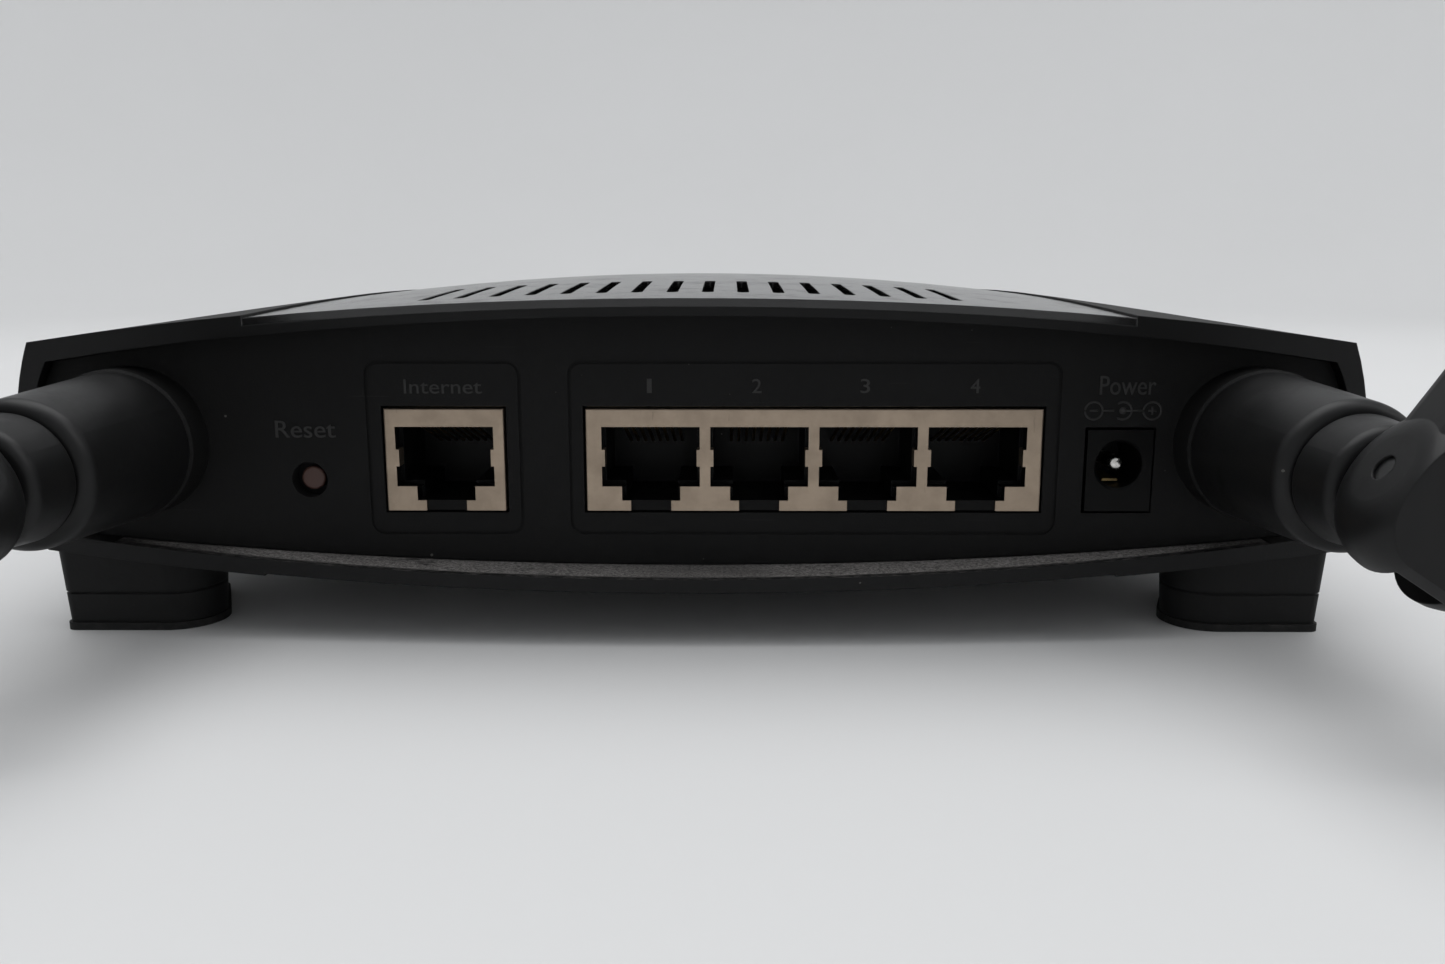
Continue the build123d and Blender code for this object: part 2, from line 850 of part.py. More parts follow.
processor_y = port_y - processor_back
board_block("processor", [(0, processor_y)], processor_side, processor_side, processor_height)
board_block("memory_chip", [(memory_x, processor_y)], *memory_size)
board_block("flash_chip", [(-memory_x, processor_y)], *flash_size)
board_block(
    "jack_transformers",
    [(x, jack_face_y - jack_depth - transformer_back) for x in [single_jack_x] + gang_port_xs],
    *transformer_size,
)
board_block("power_inductor", [(power_x, port_y - inductor_back)], *inductor_size)
board_block("clock_crystal", [(crystal_x, port_y - crystal_back)], *crystal_size)
lamp_y = board_front_y + lamp_margin
lamp_places = [((index - (lamp_count - 1) / 2) * lamp_pitch, lamp_y) for index in range(lamp_count)]
board_block("status_lamps", lamp_places, *lamp_size)
socket_places = [(side * antenna_socket_x, port_y - antenna_socket_back) for side in (1, -1)]
board_block(
    "antenna_sockets",
    socket_places,
    antenna_socket_width,
    antenna_socket_length,
    antenna_socket_height,
)

with BuildPart() as heatsink:
    with BuildSketch(Plane.XY.offset(board_top + processor_height)):
        with Locations((0, processor_y)):
            Rectangle(heatsink_side, heatsink_side)
    extrude(amount=heatsink_base)
    with BuildSketch(Plane.XY.offset(board_top + processor_height + heatsink_base)):
        with Locations((0, processor_y)):
            with GridLocations((heatsink_side - fin_thickness) / (fin_count - 1), 1, fin_count, 1):
                Rectangle(fin_thickness, heatsink_side)
    extrude(amount=fin_height)
save(heatsink.part, "heatsink")

with BuildPart() as capacitors:
    with BuildSketch(Plane.XY.offset(board_top)):
        for index in range(capacitor_count):
            with Locations((capacitor_x, port_y - capacitor_back - index * capacitor_pitch)):
                Circle(capacitor_radius)
    extrude(amount=capacitor_height)
    fillet(capacitors.faces().sort_by(Axis.Z)[-capacitor_count:].edges(), radius=capacitor_round)
save(capacitors.part, "capacitors")

for side_name, side in (("right", 1), ("left", -1)):
    with BuildPart() as radio_can:
        with BuildSketch(Plane.XY.offset(board_top)):
            with Locations((side * radio_can_x, port_y - radio_can_back)):
                Rectangle(radio_can_width, radio_can_length)
        extrude(amount=radio_can_height)
        with BuildSketch(Plane.XY.offset(board_top)):
            with Locations((side * radio_can_x, port_y - radio_can_back)):
                Rectangle(radio_can_width - 2 * sheet, radio_can_length - 2 * sheet)
        extrude(amount=radio_can_height - sheet, mode=Mode.SUBTRACT)
    save(radio_can.part, f"radio_can_{side_name}")

pipe_rear_y = lamp_y + pipe_depth / 2
pipe_front_y = lamp_y - pipe_depth / 2
with BuildPart() as light_pipe:
    add(slab(pipe_half_width, pipe_front_y, pipe_rear_y, window_low, window_high))
    for side in (1, -1):
        leg_x = side * (pipe_half_width - pipe_leg / 2)
        add(slab(pipe_leg / 2, pipe_front_y, pipe_rear_y, board_top, window_low, leg_x))
save(light_pipe.part, "light_pipe")


# ---------------------------------------------------------------- antennas
# Directions of the right-hand antenna: up its blade, to the rear along its swivel, across its blade
lean = radians(antenna_lean)
up = Vector(sin(lean), 0, cos(lean))
rear = Vector(0, 1, 0)
across = up.cross(rear)
root = Vector(antenna_x, port_y, antenna_height)
pivot = root + rear * pivot_distance


def hinge_disc():
    """The round lower end of the blade: a disc with heavily rounded rims, cut flush at the back."""
    with BuildPart() as disc:
        with BuildSketch(Plane(origin=pivot, x_dir=rear, z_dir=-across)):
            Circle(knuckle_radius)
        extrude(amount=knuckle_half_width, both=True)
        fillet(disc.edges().filter_by(GeomType.CIRCLE), radius=knuckle_round)
        with BuildSketch(Plane(origin=pivot + rear * blade_back, x_dir=across, z_dir=rear)):
            Rectangle(4 * knuckle_radius, 4 * knuckle_radius)
        extrude(amount=knuckle_radius, mode=Mode.SUBTRACT)
    return disc.part


def blade_blank():
    """The blade's outer form: a long tapering bar with rounded edges and tip, on its hinge disc."""
    tip_centre = blade_length - blade_tip_half_width
    sections = (
        (0, blade_root_half_width, blade_back, blade_front),
        (blade_length, blade_tip_half_width, blade_tip_back, blade_tip_front),
    )
    with BuildPart() as blank:
        for height, half_width, back, front in sections:
            with BuildSketch(Plane(origin=pivot + up * height, x_dir=across, z_dir=up)):
                with Locations((0, (front - back) / 2)):
                    RectangleRounded(2 * half_width, back + front, blade_round)
        loft(ruled=True)
        with BuildSketch(Plane(origin=pivot, x_dir=across, z_dir=rear)):
            with Locations((0, tip_centre / 2)):
                Rectangle(4 * knuckle_radius, tip_centre)
            with Locations((0, tip_centre)):
                Circle(blade_tip_half_width)
        extrude(amount=knuckle_radius, both=True, mode=Mode.INTERSECT)
        add(hinge_disc())
    return blank.part


def turned_piece(points):
    """A turned piece: its half outline, as radius and distance behind the panel, spun round."""
    with BuildPart() as turned:
        with BuildSketch(Plane(origin=root, x_dir=across, z_dir=-up)):
            with BuildLine():
                Polyline(*points, close=True)
            make_face()
        revolve(axis=Axis(root, rear))
    return turned.part


shoulder = collar_length + barrel_gap
bore = lead_radius + lead_gap
socket_floor = barrel_end - neck_spigot_reach
clip_rear = -panel_wall - clip_clearance
clip_front = clip_rear - clip_thickness
groove = clip_groove_radius - screw_gap

with BuildPart() as barrel:
    add(
        turned_piece(
            [
                (bore, -spigot_reach),
                (spigot_radius, -spigot_reach),
                (spigot_radius, clip_front - screw_gap),
                (groove, clip_front - screw_gap),
                (groove, clip_rear + screw_gap),
                (spigot_radius, clip_rear + screw_gap),
                (spigot_radius, shoulder),
                (barrel_root_radius, shoulder),
                (barrel_end_radius, barrel_end),
                (neck_spigot_radius + running_gap, barrel_end),
                (neck_spigot_radius + running_gap, socket_floor),
                (bore, socket_floor),
            ]
        )
    )
    rim = barrel.edges().filter_by(GeomType.CIRCLE).group_by(Axis.Y)[-1]
    fillet(rim.sort_by(SortBy.RADIUS)[-1], radius=barrel_end_round)
save_pair(barrel.part, "antenna_barrel")

with BuildPart() as neck:
    add(
        turned_piece(
            [
                (bore, socket_floor + fit_gap),
                (neck_spigot_radius, socket_floor + fit_gap),
                (neck_spigot_radius, barrel_end + neck_groove),
                (neck_root_radius, barrel_end + neck_groove),
                (neck_end_radius, neck_end),
                (bore, neck_end),
            ]
        )
    )
    rim = neck.edges().filter_by(GeomType.CIRCLE).group_by(Axis.Y)[-1]
    fillet(rim.sort_by(SortBy.RADIUS)[-1], radius=neck_round)
    with BuildSketch(Plane(origin=pivot, x_dir=rear, z_dir=-across)):
        with Locations((-(pivot_distance - neck_end + neck_round) / 2, 0)):
            Rectangle(pivot_distance - neck_end + neck_round, 2 * tongue_radius)
        Circle(tongue_radius)
    extrude(amount=tongue_half_width, both=True)
    with BuildSketch(Plane(origin=pivot, x_dir=rear, z_dir=-across)):
        Circle(pin_radius + running_gap)
    extrude(amount=tongue_half_width, both=True, mode=Mode.SUBTRACT)
    with BuildSketch(Plane(origin=root + rear * socket_floor, x_dir=across, z_dir=rear)):
        Circle(bore)
    extrude(
        amount=pivot_distance - tongue_radius - socket_floor + fit_gap, mode=Mode.SUBTRACT
    )
save_pair(neck.part, "antenna_neck")

with BuildPart() as clip:
    with BuildSketch(Plane(origin=root + rear * clip_front, x_dir=across, z_dir=rear)):
        Circle(clip_radius)
        Circle(clip_groove_radius, mode=Mode.SUBTRACT)
        with Locations((0, -clip_radius)):
            Rectangle(clip_groove_radius, 2 * clip_radius, mode=Mode.SUBTRACT)
    extrude(amount=clip_thickness)
save_pair(clip.part, "antenna_clip")

with BuildPart() as washer:
    add(
        turned_piece(
            [
                (washer_inner_radius, collar_length - washer_thickness),
                (washer_outer_radius, collar_length - washer_thickness),
                (washer_outer_radius, collar_length),
                (washer_inner_radius, collar_length),
            ]
        )
    )
save_pair(washer.part, "antenna_washer")

inner_width = 2 * (blade_tip_half_width - blade_wall)
inner_back = blade_tip_back - blade_wall + cavity_relief
inner_front = blade_tip_front - blade_wall + cavity_relief
inner_middle = (inner_front - inner_back) / 2
inner_depth = inner_back + inner_front
cap_start = blade_length - cap_length
slot = tongue_radius + tongue_gap
slot_reach = knuckle_radius + fit_gap
with BuildPart() as blade:
    add(blade_blank())
    with BuildSketch(Plane(origin=pivot, x_dir=rear, z_dir=-across)):
        with Locations((-slot_reach / 2, (slot - slot_reach) / 2)):
            Rectangle(slot_reach, slot_reach + slot)
        with Locations((slot / 2, -slot_reach / 2)):
            Rectangle(slot, slot_reach)
        Circle(slot)
    extrude(amount=tongue_half_width + tongue_side_gap, both=True, mode=Mode.SUBTRACT)
    with BuildSketch(Plane(origin=pivot, x_dir=rear, z_dir=-across)):
        Circle(pin_radius + screw_gap)
    extrude(amount=knuckle_half_width + fit_gap, both=True, mode=Mode.SUBTRACT)
    with BuildSketch(Plane(origin=pivot, x_dir=across, z_dir=up)):
        Circle(bore)
    extrude(amount=cavity_start, mode=Mode.SUBTRACT)
    with BuildSketch(Plane(origin=pivot + up * cavity_start, x_dir=across, z_dir=up)):
        with Locations((0, inner_middle)):
            Rectangle(inner_width, inner_depth)
    extrude(amount=blade_length, mode=Mode.SUBTRACT)
    with BuildSketch(Plane(origin=pivot + up * cap_start, x_dir=across, z_dir=up)):
        Rectangle(4 * blade_root_half_width, 4 * blade_root_half_width)
    extrude(amount=blade_length, mode=Mode.SUBTRACT)
save_pair(blade.part, "antenna_blade")

with BuildPart() as cap:
    add(blade_blank())
    with BuildSketch(Plane(origin=pivot + up * cap_start, x_dir=across, z_dir=up)):
        Rectangle(4 * blade_root_half_width, 4 * blade_root_half_width)
    extrude(amount=blade_length, mode=Mode.INTERSECT)
    with BuildSketch(Plane(origin=pivot + up * cap_start, x_dir=across, z_dir=-up)):
        with Locations((0, -inner_middle)):
            Rectangle(inner_width - 2 * running_gap, inner_depth - 2 * running_gap)
    extrude(amount=cap_spigot)
save_pair(cap.part, "antenna_cap")

with BuildPart() as pin:
    with BuildSketch(Plane(origin=pivot, x_dir=rear, z_dir=-across)):
        Circle(pin_radius)
    extrude(amount=knuckle_half_width - pin_recess, both=True)
save_pair(pin.part, "antenna_pin")

radiator_low = cavity_start + radiator_foot
with BuildPart() as radiator:
    with BuildSketch(Plane(origin=pivot + up * radiator_low, x_dir=across, z_dir=up)):
        Rectangle(2 * radiator_half_width, 2 * radiator_half_thickness)
    extrude(amount=cap_start - cap_spigot - fit_gap - radiator_low)
save_pair(radiator.part, "antenna_radiator")

with BuildPart() as blade_lead:
    with BuildSketch(Plane(origin=pivot + up * slot, x_dir=across, z_dir=up)):
        Circle(lead_radius)
    extrude(amount=radiator_low - slot)
save_pair(blade_lead.part, "blade_lead")

with BuildPart() as neck_lead:
    start = root - rear * (spigot_reach + lead_stub)
    with BuildSketch(Plane(origin=start, x_dir=across, z_dir=rear)):
        Circle(lead_radius)
    extrude(amount=spigot_reach + lead_stub + pivot_distance - tongue_radius)
save_pair(neck_lead.part, "neck_lead")

lead_route = [
    (antenna_x, port_y - spigot_reach - 2 * lead_stub, antenna_height),
    (antenna_x, port_y - lead_first_bend[0], antenna_height - lead_first_bend[1]),
    (antenna_x - lead_second_bend[1], port_y - lead_second_bend[0], board_top + lead_board_gap),
    (
        antenna_socket_x + antenna_socket_width / 2 + lead_plug_gap,
        port_y - antenna_socket_back,
        board_top + antenna_socket_height / 2,
    ),
]
lead_bends = bend_radii(lead_route)
print("board lead bend radii", [round(radius, 1) for radius in lead_bends])
with BuildPart() as board_lead:
    with BuildLine() as lead_path:
        FilletPolyline(*lead_route, radius=lead_bends)
    with BuildSketch(Plane(origin=lead_path.line @ 0, z_dir=lead_path.line % 0)):
        Circle(lead_radius)
    sweep()
save_pair(board_lead.part, "board_lead")
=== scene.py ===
"""The looks of a wireless router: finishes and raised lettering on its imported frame, and a stage."""

import math

import bmesh
import bpy
import numpy as np
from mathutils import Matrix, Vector


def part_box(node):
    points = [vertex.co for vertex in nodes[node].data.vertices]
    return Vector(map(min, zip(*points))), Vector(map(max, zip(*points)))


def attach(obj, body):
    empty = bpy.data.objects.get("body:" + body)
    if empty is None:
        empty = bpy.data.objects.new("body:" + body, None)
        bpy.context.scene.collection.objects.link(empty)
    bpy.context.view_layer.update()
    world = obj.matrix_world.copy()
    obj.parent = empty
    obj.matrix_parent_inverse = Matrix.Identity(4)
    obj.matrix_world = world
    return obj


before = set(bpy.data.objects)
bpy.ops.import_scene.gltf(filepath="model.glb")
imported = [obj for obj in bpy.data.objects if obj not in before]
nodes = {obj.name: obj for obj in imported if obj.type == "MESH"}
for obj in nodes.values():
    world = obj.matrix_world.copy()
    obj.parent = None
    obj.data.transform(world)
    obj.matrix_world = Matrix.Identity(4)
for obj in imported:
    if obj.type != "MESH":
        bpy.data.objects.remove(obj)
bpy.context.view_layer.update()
MM = 0.001

# ---------------------------------------------------------------- places taken from the frame
# The jack shields stand 0.3 mm proud of the panel's outer face, which gives that face's Y.
panel_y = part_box("internet_jack_shield")[1].y - 0.3 * MM
rim_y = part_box("top_cover")[1].y
# From the middle to the corners the rims' outer edge bows forward by rim_bow.
rim_half_width = 83 * MM
rim_bow = 5.9 * MM
bow_radius = (rim_half_width**2 + rim_bow**2) / (2 * rim_bow)
floor_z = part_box("foot_pads")[0].z


# ---------------------------------------------------------------- shader expressions
class Signal:
    """One output socket of a finish's node tree. Operators between signals and numbers add Math nodes."""

    def __init__(self, finish, socket):
        self.finish = finish
        self.socket = socket

    def _math(self, operation, first, second=None, clamp=False):
        values = {0: first} if second is None else {0: first, 1: second}
        settings = {"operation": operation, "use_clamp": clamp}
        return self.finish.node("ShaderNodeMath", settings, values)

    def __add__(self, other):
        return self._math("ADD", self, other)

    def __radd__(self, other):
        return self._math("ADD", other, self)

    def __sub__(self, other):
        return self._math("SUBTRACT", self, other)

    def __rsub__(self, other):
        return self._math("SUBTRACT", other, self)

    def __mul__(self, other):
        return self._math("MULTIPLY", self, other)

    def __rmul__(self, other):
        return self._math("MULTIPLY", other, self)

    def __truediv__(self, other):
        return self._math("DIVIDE", self, other)

    def __gt__(self, other):
        return self._math("GREATER_THAN", self, other)

    def __lt__(self, other):
        return self._math("LESS_THAN", self, other)

    def __abs__(self):
        return self._math("ABSOLUTE", self)

    def over(self, low, high):
        """0 below low, 1 above high and a smooth rise between them."""
        inputs = {"Value": self, "From Min": low, "From Max": high}
        return self.finish.node("ShaderNodeMapRange", {"interpolation_type": "SMOOTHSTEP"}, inputs)

    def most(self, other):
        return self._math("MAXIMUM", self, other)

    def least(self, other):
        return self._math("MINIMUM", self, other)

    def waves(self):
        return self._math("SINE", self)


class Finish:
    """A procedural material. Patterns are laid out in Object coordinates, in metres."""

    def __init__(self, name, **constants):
        self.material = bpy.data.materials.new(name)
        self.material.use_nodes = True
        self.tree = self.material.node_tree
        self.tree.nodes.clear()
        self.shader = self.tree.nodes.new("ShaderNodeBsdfPrincipled")
        self.output = self.tree.nodes.new("ShaderNodeOutputMaterial")
        self.tree.links.new(self.shader.outputs["BSDF"], self.output.inputs["Surface"])
        for socket, value in constants.items():
            self.shader.inputs[socket.replace("_", " ")].default_value = value
        coordinates = self.tree.nodes.new("ShaderNodeTexCoord")
        self.place = Signal(self, coordinates.outputs["Object"])
        self.facing = Signal(self, coordinates.outputs["Normal"])

    def node(self, kind, settings=None, inputs=None, output=0):
        """A node of the given type: its settings first, then the values or links of its sockets."""
        made = self.tree.nodes.new(kind)
        for name, value in (settings or {}).items():
            setattr(made, name, value)
        for name, value in (inputs or {}).items():
            self.feed(made.inputs[name], value)
        return Signal(self, made.outputs[output])

    def feed(self, socket, value):
        """Links a signal to a socket, or sets a plain value on it."""
        if isinstance(value, Signal):
            self.tree.links.new(value.socket, socket)
        else:
            socket.default_value = value

    def axes(self, vector=None):
        """The three parts of a vector, by default of the place in metres."""
        source = vector or self.place
        made = self.tree.nodes.new("ShaderNodeSeparateXYZ")
        self.tree.links.new(source.socket, made.inputs[0])
        return [Signal(self, out) for out in made.outputs]

    def noise(self, size, detail=2.0, rough=0.5, stretch=(1, 1, 1)):
        """Soft noise from 0 to 1 with grains about `size` metres across, longer along a stretched axis."""
        vector = self.place
        if stretch != (1, 1, 1):
            scale = tuple(1 / s for s in stretch)
            vector = self.node("ShaderNodeMapping", {}, {"Vector": vector, "Scale": scale})
        inputs = {"Vector": vector, "Scale": 1 / size, "Detail": detail, "Roughness": rough}
        return self.node("ShaderNodeTexNoise", {}, inputs)

    def cells(self, size, output="Distance", randomness=1.0):
        """Distance to the nearest of many scattered points about `size` metres apart, in cell widths."""
        inputs = {"Vector": self.place, "Scale": 1 / size, "Randomness": randomness}
        return self.node("ShaderNodeTexVoronoi", {}, inputs, output)

    def blend(self, share, first, second):
        """A colour that goes from the first to the second as the share goes from 0 to 1."""
        made = self.tree.nodes.new("ShaderNodeMix")
        made.data_type = "RGBA"
        self.feed(made.inputs[0], share)
        for index, colour in ((6, first), (7, second)):
            self.feed(made.inputs[index], colour if isinstance(colour, Signal) else (*colour, 1.0))
        return Signal(self, made.outputs[2])

    def surface(self, colour=None, roughness=None, metal=None, relief=(), soften=None):
        """Feeds the shader. Relief is a list of (height signal, height in metres) pairs."""
        for socket, value in (("Base Color", colour), ("Roughness", roughness), ("Metallic", metal)):
            if value is not None:
                self.feed(self.shader.inputs[socket], value)
        normal = None
        if soften is not None:
            normal = self.node("ShaderNodeBevel", {"samples": 6}, {"Radius": soften})
        for height, distance in relief:
            inputs = {"Height": height, "Distance": distance, "Strength": 1.0}
            if normal is not None:
                inputs["Normal"] = normal
            normal = self.node("ShaderNodeBump", {}, inputs)
        if normal is not None:
            self.feed(self.shader.inputs["Normal"], normal)
        return self.material

    def specks(self, spacing, size, share):
        """1 on a scatter of small specks: near a cell's point, in the given share of the cells."""
        near = self.cells(spacing)
        pick = self.axes(self.cells(spacing, "Color"))[0]
        ragged = self.noise(spacing / 5, 3.0)
        return (near + ragged * 0.12 < size / spacing + 0.06) * (pick < share)


# ---------------------------------------------------------------- finishes
def textured_plastic(name, tone, grain=0.32 * MM, dust=0.25):
    """Spark-eroded black plastic: fine pitted grain, cloudy sheen, settled dust on what faces up, and on
    upper faces turned towards +Y a smoother skin whose colour carries painted shade.
    """
    finish = Finish(name, Specular_IOR_Level=0.2)
    _, y, z = finish.axes()
    _, face_y, up = finish.axes(finish.facing)
    # Upper faces turned towards +Y, in front of the panel: less pitted and glossier, with painted shade
    # darkening their colour.
    smooth_rim_painted_shade = face_y.over(0.4, 0.7) * (y > panel_y + 2 * MM) * (z > 20 * MM)
    clouds = finish.noise(22 * MM, 4.0, 0.6)
    pits = finish.noise(grain, 3.0, 0.65) * (1 - smooth_rim_painted_shade * 0.85)
    fine = finish.noise(grain / 3, 2.0, 0.5)
    film = up.over(0.2, 0.95) * finish.noise(1.1 * MM, 5.0, 0.75).over(0.42, 0.72) * dust
    specks = finish.specks(3.1 * MM, 0.16 * MM, 0.16)
    lint = finish.noise(0.5 * MM, 2.0, 0.5, (1, 9, 3)).over(0.74, 0.8) * 0.35
    base = finish.blend(clouds * pits, tuple(0.75 * t for t in tone), tuple(1.3 * t for t in tone))
    dusty = finish.blend((film + lint * dust).least(1.0), base, (0.11, 0.107, 0.1))
    speckled = finish.blend(specks * 0.55, dusty, (0.2, 0.195, 0.18))
    # Painted shade: the colour of the upper faces turned towards +Y is darkened to about a third of the tone.
    colour = finish.blend(smooth_rim_painted_shade * 0.9, speckled, tuple(0.35 * t for t in tone))
    roughness = 0.5 + pits * 0.12 + clouds * 0.06 + film * 0.3 - smooth_rim_painted_shade * 0.12
    relief = [(pits, 0.035 * MM), (fine, 0.012 * MM)]
    return finish.surface(colour, roughness, relief=relief, soften=0.22 * MM)


def ledge_plastic(name, tone):
    """The lower cover's plastic. Its narrow shelf behind the panel holds a thick, scuffed layer of dust."""
    finish = Finish(name, Specular_IOR_Level=0.2)
    x, y, z = finish.axes()
    up = finish.axes(finish.facing)[2]
    edge = rim_y - x * x / (2 * bow_radius)
    inside = 1 - (y - edge).over(-1.7 * MM, -0.8 * MM)
    central = 1 - abs(x).over(62 * MM, 84 * MM)
    pits = finish.noise(0.32 * MM, 3.0, 0.65)
    fine = finish.noise(0.11 * MM, 2.0, 0.5)
    clouds = finish.noise(22 * MM, 4.0, 0.6)
    shelf = y.over(panel_y - 0.2 * MM, panel_y + 0.4 * MM) * up.over(0.5, 0.9) * (z < 20 * MM)
    grains = finish.noise(0.42 * MM, 5.0, 0.8).over(0.3, 0.66)
    scuffs = 1 - finish.noise(6.5 * MM, 4.0, 0.7, (2.4, 1, 1)).over(0.6, 0.68)
    lie = finish.noise(15 * MM, 3.0, 0.6, (1.5, 1, 1)).over(0.2, 0.6)
    dust = shelf * grains * scuffs * (0.45 + lie * 0.55) * inside * (0.25 + central * 0.75)
    thin = up.over(0.2, 0.95) * finish.noise(1.1 * MM, 5.0, 0.75).over(0.42, 0.72) * 0.22
    specks = finish.specks(3.1 * MM, 0.16 * MM, 0.16)
    base = finish.blend(clouds * pits, tuple(0.75 * t for t in tone), tuple(1.3 * t for t in tone))
    dusty = finish.blend(dust.most(thin), base, (0.36, 0.342, 0.33))
    colour = finish.blend(specks * 0.5, dusty, (0.2, 0.195, 0.18))
    roughness = 0.52 + pits * 0.12 + dust * 0.35
    relief = [(pits, 0.035 * MM), (fine, 0.012 * MM), (dust, 0.08 * MM)]
    return finish.surface(colour, roughness, relief=relief, soften=0.22 * MM)


def panel_plastic(name):
    """The rear panel: matt black with a tight grain, stray dust specks and a few hair scratches."""
    finish = Finish(name, Specular_IOR_Level=0.18)
    pits = finish.noise(0.26 * MM, 3.0, 0.7)
    fine = finish.noise(0.09 * MM, 2.0, 0.5)
    clouds = finish.noise(16 * MM, 4.0, 0.6)
    specks = finish.specks(4.2 * MM, 0.15 * MM, 0.2)
    dots = finish.specks(1.7 * MM, 0.07 * MM, 0.12)
    streak = finish.noise(3.1 * MM, 1.0, 0.4, (5, 1, 0.06)).over(0.76, 0.79)
    base = finish.blend(clouds * pits * 1.6, (0.0035, 0.0035, 0.0036), (0.0085, 0.0084, 0.0083))
    worn = finish.blend(streak * 0.25, base, (0.06, 0.06, 0.058))
    colour = finish.blend(specks.most(dots * 0.6) * 0.5, worn, (0.16, 0.155, 0.145))
    roughness = 0.56 + pits * 0.14 + clouds * 0.05
    return finish.surface(colour, roughness, relief=[(pits, 0.04 * MM), (fine, 0.015 * MM)], soften=0.12 * MM)


def satin_plastic(name, tone, rough=0.34, specular=0.45, soften=0.25 * MM, relief=0.004 * MM):
    """Smooth satin plastic: faint flow marks, handling smears that change the sheen, and pin-prick dust."""
    finish = Finish(name, Specular_IOR_Level=specular)
    flow = finish.noise(9 * MM, 3.0, 0.6, (1, 1, 2.5))
    smears = finish.noise(5.5 * MM, 4.0, 0.7).over(0.48, 0.7)
    skin = finish.noise(0.5 * MM, 2.0, 0.5)
    specks = finish.specks(4.6 * MM, 0.13 * MM, 0.2)
    base = finish.blend(flow, tuple(0.8 * t for t in tone), tuple(1.25 * t for t in tone))
    colour = finish.blend(specks * 0.5, base, (0.17, 0.165, 0.155))
    roughness = rough + smears * 0.07 + skin * 0.05 + specks * 0.3
    return finish.surface(colour, roughness, relief=[(skin, relief)], soften=soften)


def plated_sheet(name, tone, rough=0.33):
    """Plated sheet metal: rolling grain across the sheet, cloudy tarnish and small handling marks."""
    finish = Finish(name, Metallic=1.0)
    grain = finish.noise(0.22 * MM, 3.0, 0.7, (14, 1, 1))
    tarnish = finish.noise(4.2 * MM, 4.0, 0.65).over(0.3, 0.75)
    marks = finish.noise(1.3 * MM, 3.0, 0.6, (0.5, 1, 3)).over(0.66, 0.72)
    base = finish.blend(tarnish, tone, tuple(0.8 * t for t in tone))
    colour = finish.blend(marks * 0.3, base, tuple(0.55 * t for t in tone))
    roughness = rough + grain * 0.08 + tarnish * 0.09 + marks * 0.12
    return finish.surface(colour, roughness, relief=[(grain, 0.003 * MM)], soften=0.06 * MM)


def bright_metal(name, tone, rough, mark=0.8 * MM):
    """Plain turned or drawn metal with fine drawing lines and a little staining."""
    finish = Finish(name, Metallic=1.0)
    lines = finish.noise(0.12 * MM, 2.0, 0.6, (1, 12, 1))
    stain = finish.noise(mark, 4.0, 0.7).over(0.45, 0.75)
    colour = finish.blend(stain, tone, tuple(0.6 * t for t in tone))
    roughness = rough + stain * 0.15 + lines * 0.06
    return finish.surface(colour, roughness, relief=[(lines, 0.002 * MM)])


def dull_rubber(name, tone):
    """Soft moulded rubber: deep matt black with a bloom of fine dust."""
    finish = Finish(name, Specular_IOR_Level=0.2)
    bloom = finish.noise(2.4 * MM, 5.0, 0.75).over(0.4, 0.8)
    grain = finish.noise(0.2 * MM, 3.0, 0.7)
    colour = finish.blend(bloom * 0.5, tone, (0.05, 0.049, 0.046))
    return finish.surface(colour, 0.72 + grain * 0.15, relief=[(grain, 0.03 * MM)])


def circuit_board(name):
    """Solder-masked board: copper pours and fine traces under green lacquer, with tiny plated holes."""
    finish = Finish(name, Specular_IOR_Level=0.5)
    _, y, _ = finish.axes()
    blocks = finish.node("ShaderNodeTexBrick", {"offset": 0.37, "squash": 0.7}, {
        "Vector": finish.place, "Scale": 1 / (6.2 * MM), "Mortar Size": 0.045, "Mortar Smooth": 0.0,
        "Brick Width": 0.9, "Row Height": 0.31}, "Fac")
    pours = finish.noise(13 * MM, 1.0, 0.3).over(0.49, 0.52)
    lines = ((y * (2 * math.pi / (0.8 * MM))).waves() > 0.3) * (1 - pours)
    holes = finish.cells(2.9 * MM, randomness=0.75) < 0.09
    copper = (pours * (1 - blocks)).most(lines * 0.8)
    mask = finish.blend(copper, (0.006, 0.035, 0.014), (0.018, 0.085, 0.03))
    colour = finish.blend(holes, mask, (0.45, 0.36, 0.16))
    relief = [(copper, 0.03 * MM), (holes, -0.05 * MM)]
    return finish.surface(colour, 0.28 + finish.noise(1 * MM) * 0.12, holes * 0.9, relief)


def moulded_package(name, tone):
    """Black epoxy of a chip: gritty, slightly mottled, with a faint ejector ring pattern."""
    finish = Finish(name, Specular_IOR_Level=0.35)
    grit = finish.noise(0.15 * MM, 3.0, 0.75)
    mottle = finish.noise(3.5 * MM, 3.0, 0.6)
    colour = finish.blend(grit * mottle * 2, tone, tuple(2.2 * t for t in tone))
    return finish.surface(colour, 0.5 + grit * 0.2, relief=[(grit, 0.02 * MM)], soften=0.1 * MM)


def smoked_plastic(name):
    """A dark, glossy lamp window: nearly black, faintly brown where light gets in, with light smears."""
    finish = Finish(name, Coat_Weight=0.6, Coat_Roughness=0.06, Specular_IOR_Level=0.5)
    smears = finish.noise(7 * MM, 4.0, 0.7).over(0.45, 0.75)
    colour = finish.blend(smears, (0.006, 0.0055, 0.006), (0.014, 0.012, 0.012))
    return finish.surface(colour, 0.09 + smears * 0.1)


